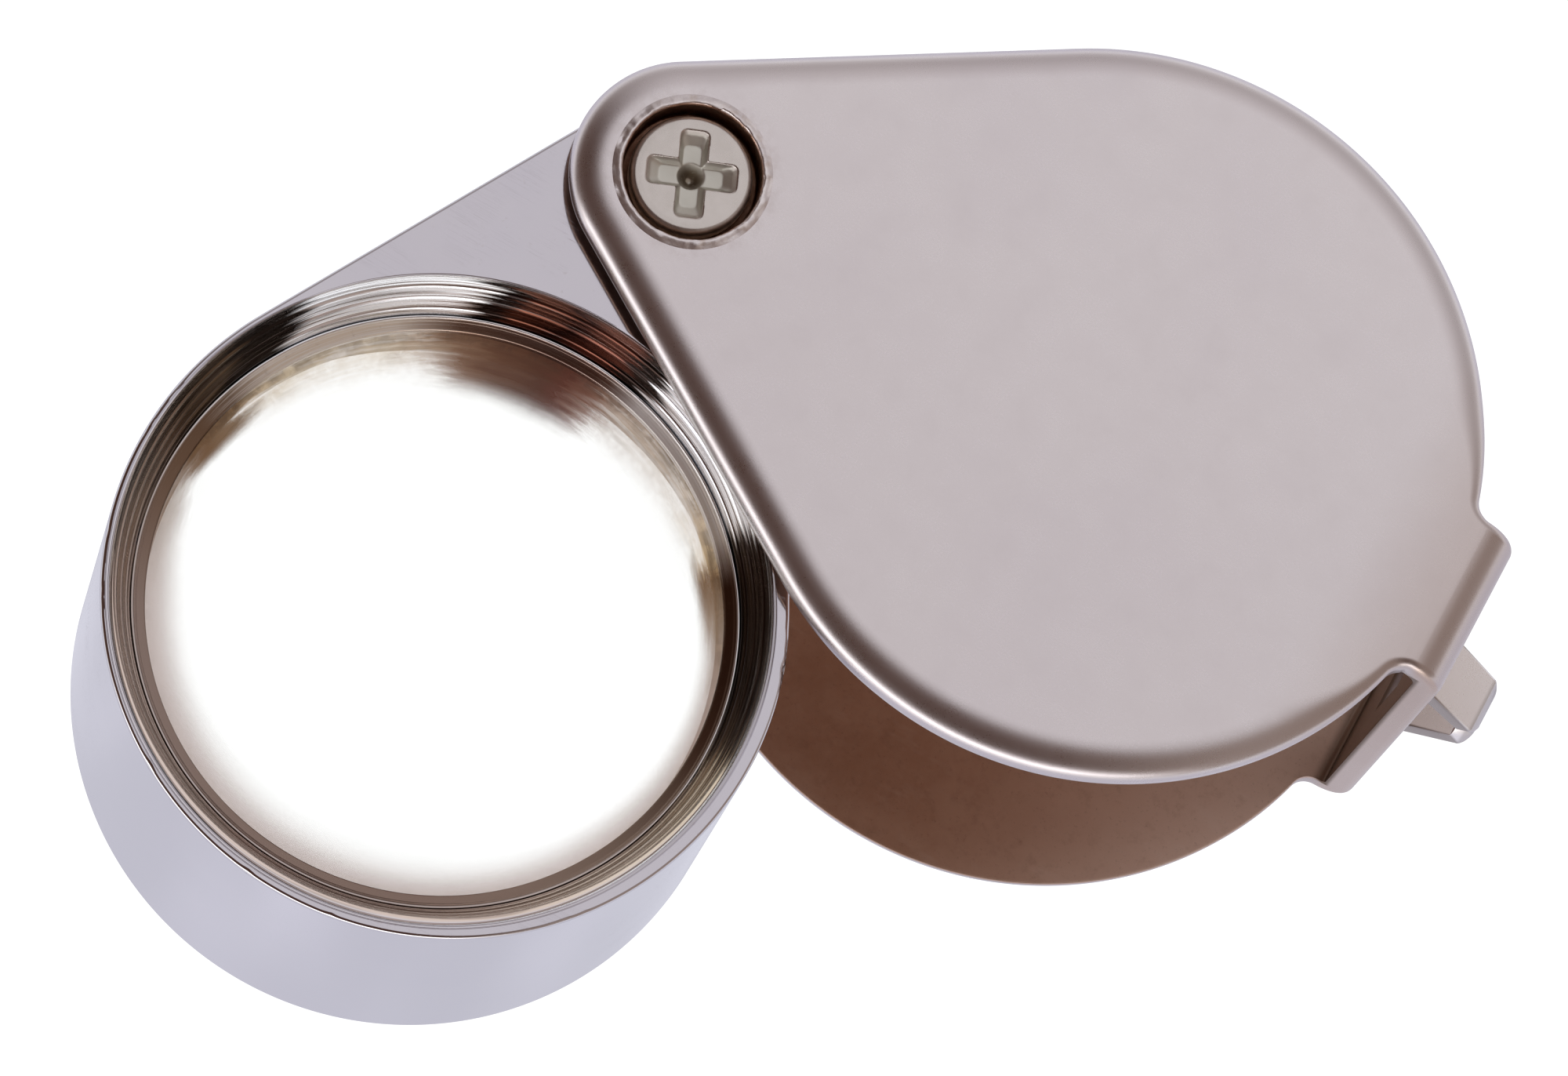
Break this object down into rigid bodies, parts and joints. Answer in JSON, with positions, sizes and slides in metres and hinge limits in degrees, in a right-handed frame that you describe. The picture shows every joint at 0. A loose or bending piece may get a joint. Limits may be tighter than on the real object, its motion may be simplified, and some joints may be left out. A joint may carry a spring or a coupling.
{
  "type": "folding viewing loupe",
  "caption": "Folding viewing loupe: a chromed lens barrel that swings on a screw pivot out of a folded sheet-metal case with a lanyard loop.",
  "frame": {"origin": "on the pivot axis, at the outer face of the rear plate (the flush head of the pivot post)", "axes": "+Z is the pivot axis and the normal of the plates, from the rear plate to the front plate with the screw; +X runs along the case from the pivot to the end strap and its lanyard loop; the barrel is swung out towards -Y"},
  "size_m": [0.0456, 0.0421, 0.0176],
  "materials": {
    "case": "satin nickel plate",
    "screw": "nickel plate, dull",
    "post": "nickel plate, dull",
    "barrel": "bright chrome plate",
    "front_ring": "bright, turned",
    "rear_ring": "bright, turned",
    "front_glass": "polished",
    "crown_glass": "polished",
    "flint_glass": "polished",
    "spacer": "turned, with tool lines",
    "nylon": "plain",
    "bronze": "rolled strip"
  },
  "bodies": {
    "case": {"case_shell": "case", "pivot_screw": "screw", "pivot_post": "post"},
    "lens_body": {"lens_barrel": "barrel", "front_retaining_ring": "front_ring", "front_lens": "front_glass", "lens_spacer": "spacer", "rear_crown_lens": "crown_glass", "rear_flint_lens": "flint_glass", "rear_retaining_ring": "rear_ring", "rear_friction_washer": "nylon", "front_wave_washer": "bronze"}
  },
  "joints": [
    {"name": "lens_pivot", "type": "hinge", "parent": "case", "child": "lens_body", "pos_m": [0, 0, 0], "axis": [0, 0, 1], "continuous": true}
  ]
}
